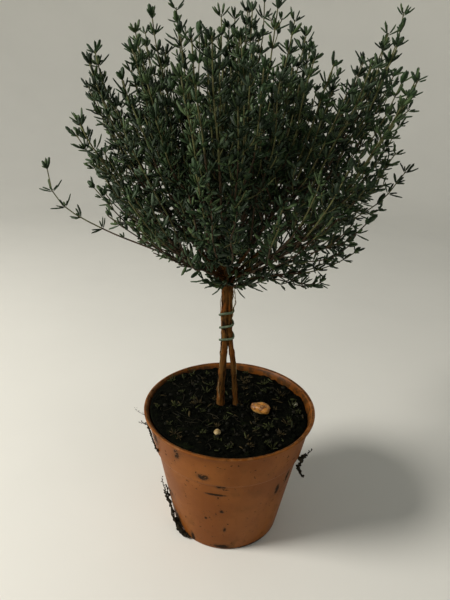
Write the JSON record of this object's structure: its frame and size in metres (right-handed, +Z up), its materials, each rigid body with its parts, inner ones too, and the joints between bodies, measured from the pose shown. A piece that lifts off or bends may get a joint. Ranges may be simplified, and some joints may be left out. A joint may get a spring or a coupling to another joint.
{
  "type": "potted thyme grown as a standard",
  "caption": "Small garden thyme trained as a standard: bare tied stems carry a wide, airy, rounded head of leafy shoots in a round nursery pot.",
  "frame": {"origin": "centre of the pot's flat underside, where it stands", "axes": "+Z up along the pot's axis, -Y towards the side from which the stems stand side by side, the thicker one to -X"},
  "size_m": [0.1901, 0.1547, 0.3059],
  "materials": {
    "terracotta_plastic": "moulded plastic, satin, scuffed and smeared with damp compost",
    "compost": "damp peaty compost, matt",
    "stone_amber": "rounded grit, matt",
    "stone_cream": "rounded grit, matt",
    "stone_pale": "rounded grit, matt",
    "bark": "thin flaking bark, matt",
    "tie_wire": "plastic-coated soft wire, satin",
    "thyme_leaf": "small leathery leaves, dull"
  },
  "bodies": {
    "root": {"pot": "terracotta_plastic", "soil": "compost", "stone_amber": "stone_amber", "stone_cream": "stone_cream", "stone_pale": "stone_pale", "stem_left": "bark", "stem_right": "bark", "tie": "tie_wire", "bough_crest_1": "bark", "bough_crest_2": "bark", "bough_crest_3": "bark", "bough_upper_1": "bark", "bough_upper_2": "bark", "bough_upper_3": "bark", "bough_upper_4": "bark", "bough_upper_5": "bark", "bough_upper_6": "bark", "bough_shoulder_1": "bark", "bough_shoulder_2": "bark", "bough_shoulder_3": "bark", "bough_shoulder_4": "bark", "bough_shoulder_5": "bark", "bough_shoulder_6": "bark", "bough_shoulder_7": "bark", "bough_skirt_1": "bark", "bough_skirt_2": "bark", "bough_skirt_3": "bark", "bough_skirt_4": "bark", "bough_skirt_5": "bark", "bough_skirt_6": "bark", "foliage_crest_1": "thyme_leaf", "foliage_crest_2": "thyme_leaf", "foliage_crest_3": "thyme_leaf", "foliage_upper_1": "thyme_leaf", "foliage_upper_2": "thyme_leaf", "foliage_upper_3": "thyme_leaf", "foliage_upper_4": "thyme_leaf", "foliage_upper_5": "thyme_leaf", "foliage_upper_6": "thyme_leaf", "foliage_shoulder_1": "thyme_leaf", "foliage_shoulder_2": "thyme_leaf", "foliage_shoulder_3": "thyme_leaf", "foliage_shoulder_4": "thyme_leaf", "foliage_shoulder_5": "thyme_leaf", "foliage_shoulder_6": "thyme_leaf", "foliage_shoulder_7": "thyme_leaf", "foliage_skirt_1": "thyme_leaf", "foliage_skirt_2": "thyme_leaf", "foliage_skirt_3": "thyme_leaf", "foliage_skirt_4": "thyme_leaf", "foliage_skirt_5": "thyme_leaf", "foliage_skirt_6": "thyme_leaf"}
  },
  "joints": []
}
